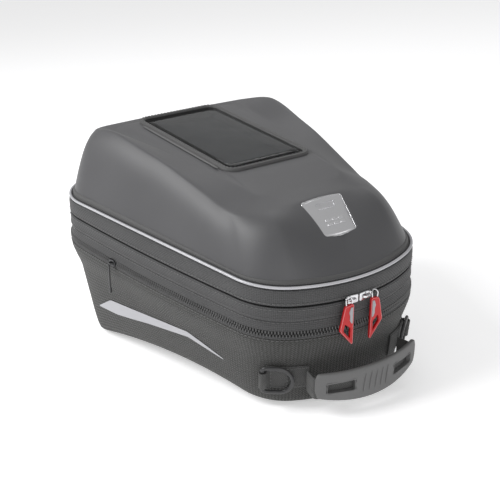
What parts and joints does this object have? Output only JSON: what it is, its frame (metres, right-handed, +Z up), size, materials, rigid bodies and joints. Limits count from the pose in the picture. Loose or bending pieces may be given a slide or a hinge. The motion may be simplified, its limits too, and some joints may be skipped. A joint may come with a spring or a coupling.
{
  "type": "tank bag",
  "caption": "Motorcycle tank bag with a moulded domed lid, clear phone window, zipped expansion section, front handle and a quick-release socket underneath.",
  "frame": {"origin": "middle of the bag's footprint, on the surface it stands on", "axes": "+Z up, -Y towards the rider: the end with the handle, badge and zip pulls; +Y towards the windscreen; +X to the right of someone who faces +Y"},
  "size_m": [0.2728, 0.359, 0.2242],
  "materials": {
    "moulded_eva": "matte moulded EVA foam shell",
    "ballistic_fabric": "ballistic weave polyester",
    "band_fabric": "fine woven polyester over foam",
    "zip_tape": "woven zip tape",
    "zip_coil": "nylon coil",
    "reflective_piping": "silver reflective piping",
    "decal": "silver transfer film",
    "webbing": "ribbed polyester webbing",
    "handle_rubber": "moulded rubber",
    "ring_plastic": "moulded acetal",
    "slider_metal": "bright nickel plate",
    "pull_rubber": "red moulded rubber",
    "pull_inlay": "grey print",
    "badge_metal": "satin anodised with polished edges",
    "window_frame": "stitched coated binding",
    "window_film": "clear flexible film",
    "pocket_liner": "black liner",
    "socket_plastic": "glass-filled nylon",
    "steel": "zinc-plated steel"
  },
  "bodies": {
    "tub": {"tub_shell": "ballistic_fabric", "lock_flange": "socket_plastic", "lock_backing_plate": "socket_plastic", "flange_screw_1": "steel", "flange_screw_2": "steel", "flange_screw_3": "steel", "flange_screw_4": "steel", "latch_spring_left": "steel", "latch_spring_right": "steel", "expansion_coil_lower": "zip_coil", "expansion_tape_lower": "zip_tape", "side_decal_left": "decal", "side_decal_right": "decal", "side_webbing_left": "webbing", "side_webbing_right": "webbing", "ring_keeper_left": "webbing", "ring_keeper_right": "webbing"},
    "middle": {"middle_band": "band_fabric", "main_zip_tape_lower": "zip_tape", "main_zip_coil_lower": "zip_coil", "expansion_tape_upper": "zip_tape", "expansion_coil_upper": "zip_coil", "expansion_gusset": "zip_tape", "hinge_tape_lower": "band_fabric"},
    "lid": {"dome_shell": "moulded_eva", "lid_band": "band_fabric", "piping": "reflective_piping", "main_zip_tape_upper": "zip_tape", "main_zip_coil_upper": "zip_coil", "hinge_tape_upper": "band_fabric", "window_frame": "window_frame", "window_film": "window_film", "phone_pocket": "pocket_liner", "badge_plate": "badge_metal"},
    "slider_left": {"main_slider_left": "slider_metal"},
    "slider_right": {"main_slider_right": "slider_metal"},
    "pull_left": {"pull_link_left": "slider_metal", "pull_tab_left": "pull_rubber", "pull_inlay_left": "pull_inlay"},
    "pull_right": {"pull_link_right": "slider_metal", "pull_tab_right": "pull_rubber", "pull_inlay_right": "pull_inlay"},
    "expansion_slider": {"expansion_slider": "slider_metal"},
    "expansion_pull": {"expansion_pull": "ring_plastic"},
    "ring_left": {"d_ring_left": "ring_plastic"},
    "ring_right": {"d_ring_right": "ring_plastic"},
    "handle": {"handle_grip": "handle_rubber", "handle_strap": "webbing"},
    "latch": {"latch_bolt": "socket_plastic", "latch_tab": "pull_rubber"}
  },
  "joints": [
    {"name": "expansion_lift", "type": "slide", "parent": "tub", "child": "middle", "axis": [0, -0.1374, 0.9905], "range_m": [0, 0.035]},
    {"name": "lid_hinge", "type": "hinge", "parent": "middle", "child": "lid", "pos_m": [0, 0.17663, 0.14854], "axis": [-1, 0, 0], "range_deg": [0, 100]},
    {"name": "main_slider_left_travel", "type": "hinge", "parent": "middle", "child": "slider_left", "pos_m": [0, -0.02296, 0.12084], "axis": [0, 0.1374, -0.9905], "range_deg": [0, 16]},
    {"name": "main_slider_right_travel", "type": "hinge", "parent": "middle", "child": "slider_right", "pos_m": [0, -0.02296, 0.12084], "axis": [0, -0.1374, 0.9905], "range_deg": [0, 20]},
    {"name": "pull_left_swing", "type": "hinge", "parent": "slider_left", "child": "pull_left", "pos_m": [-0.01978, -0.17056, 0.10541], "axis": [-0.9959, 0.0895, 0.0124], "range_deg": [0, 140]},
    {"name": "pull_right_swing", "type": "hinge", "parent": "slider_right", "child": "pull_right", "pos_m": [0.00751, -0.17167, 0.10525], "axis": [-1, -0.008, -0.0011], "range_deg": [0, 140]},
    {"name": "expansion_slider_travel", "type": "hinge", "parent": "tub", "child": "expansion_slider", "pos_m": [1.68817, 0.33093, 0.1441], "axis": [0, -0.1374, 0.9905], "range_deg": [0, 4.2]},
    {"name": "expansion_pull_swing", "type": "hinge", "parent": "expansion_slider", "child": "expansion_pull", "pos_m": [-0.13388, 0.05818, 0.10626], "axis": [-0.1494, 0.9794, 0.1359], "range_deg": [0, 120]},
    {"name": "ring_left_swing", "type": "hinge", "parent": "tub", "child": "ring_left", "pos_m": [-0.08268, -0.123, 0.03235], "axis": [0.0485, 0.1971, -0.9792], "range_deg": [0, 110]},
    {"name": "ring_right_swing", "type": "hinge", "parent": "tub", "child": "ring_right", "pos_m": [0.08268, -0.123, 0.03235], "axis": [0.0485, -0.1971, 0.9792], "range_deg": [0, 110]},
    {"name": "handle_lift", "type": "hinge", "parent": "tub", "child": "handle", "pos_m": [0, -0.14709, 0.02951], "axis": [-1, 0, 0], "range_deg": [0, 35]},
    {"name": "latch_slide", "type": "slide", "parent": "tub", "child": "latch", "axis": [0, -1, 0], "range_m": [0, 0.0042], "stiffness_N_per_m": 500, "springref_m": -0.002, "deforming": ["latch_spring_left", "latch_spring_right"]}
  ]
}
